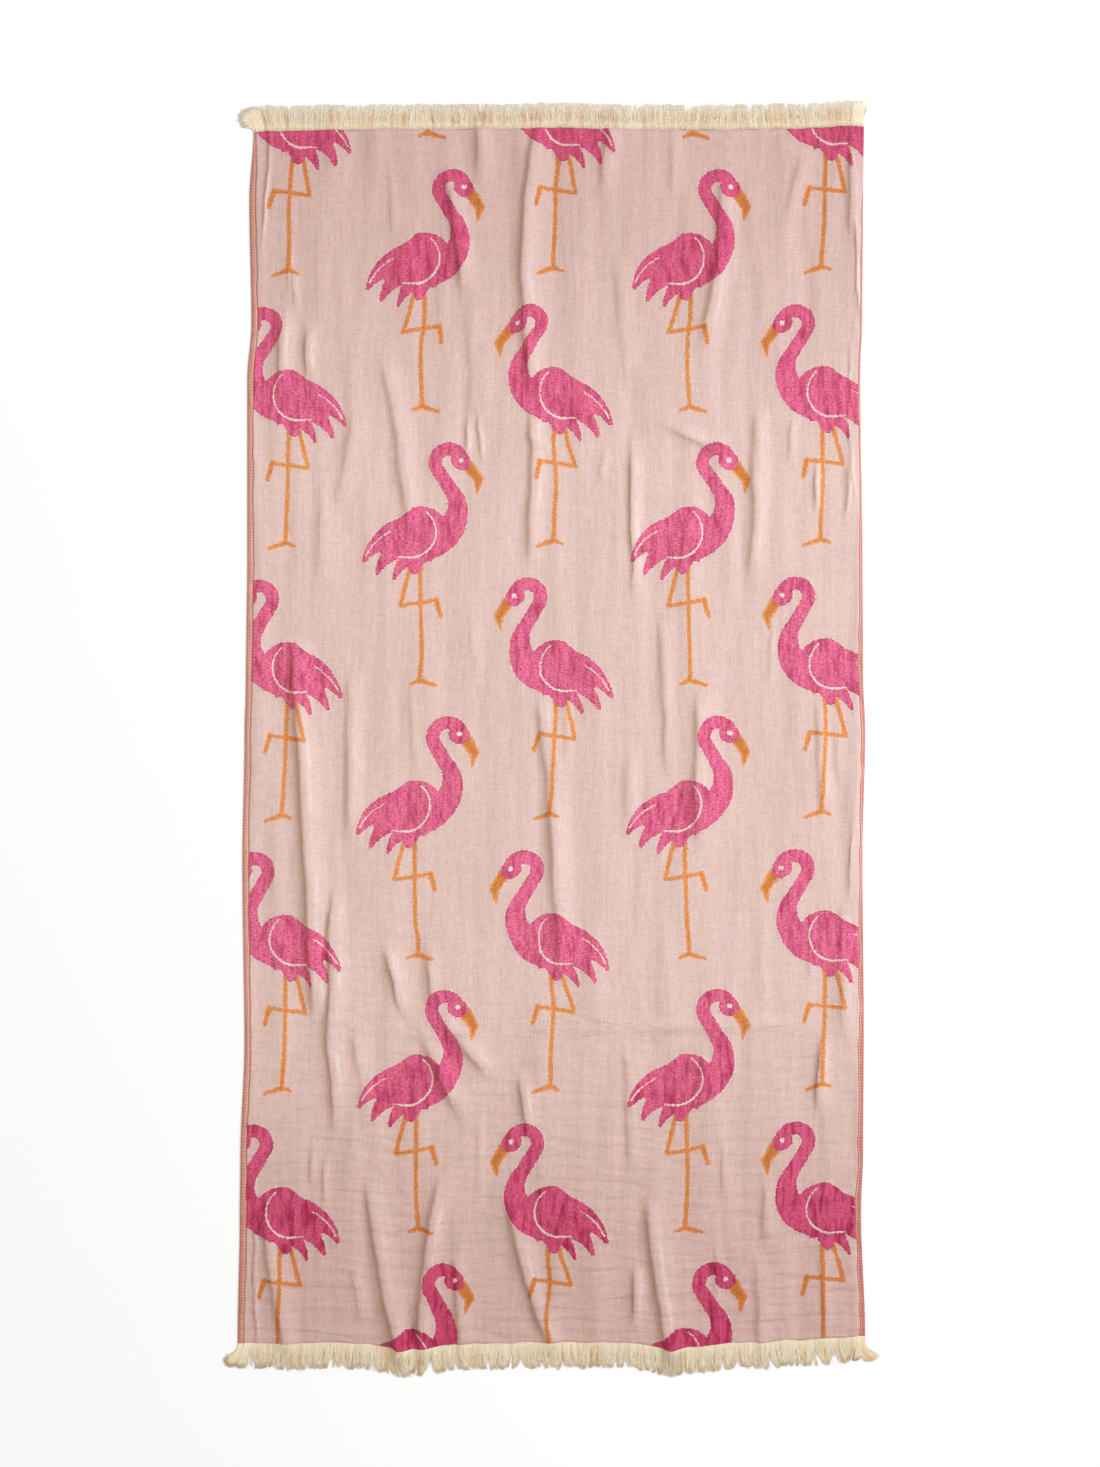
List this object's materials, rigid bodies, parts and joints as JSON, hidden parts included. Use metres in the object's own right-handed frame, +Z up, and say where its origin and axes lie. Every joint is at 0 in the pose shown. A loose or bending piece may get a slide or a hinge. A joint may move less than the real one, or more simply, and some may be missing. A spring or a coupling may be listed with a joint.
{
  "type": "hammam towel",
  "caption": "Fringed double-gauze hammam towel lying flat in soft creases, to lay on a lounger, bench, bed or floor, dry with or wrap in.",
  "frame": {"origin": "under the middle of the whole towel, on the surface it lies on", "axes": "+Y along the towel's length to the end with the brushed, even fringe; +X across its width; +Z up, out of its face"},
  "size_m": [0.9368, 1.8415, 0.0115],
  "materials": {
    "double_gauze": "matte double-gauze cotton with woven figures",
    "fringe_yarn": "matte brushed cotton yarn"
  },
  "bodies": {
    "root": {"towel_cloth": "double_gauze", "fringe_top": "fringe_yarn", "fringe_bottom": "fringe_yarn"}
  },
  "joints": []
}
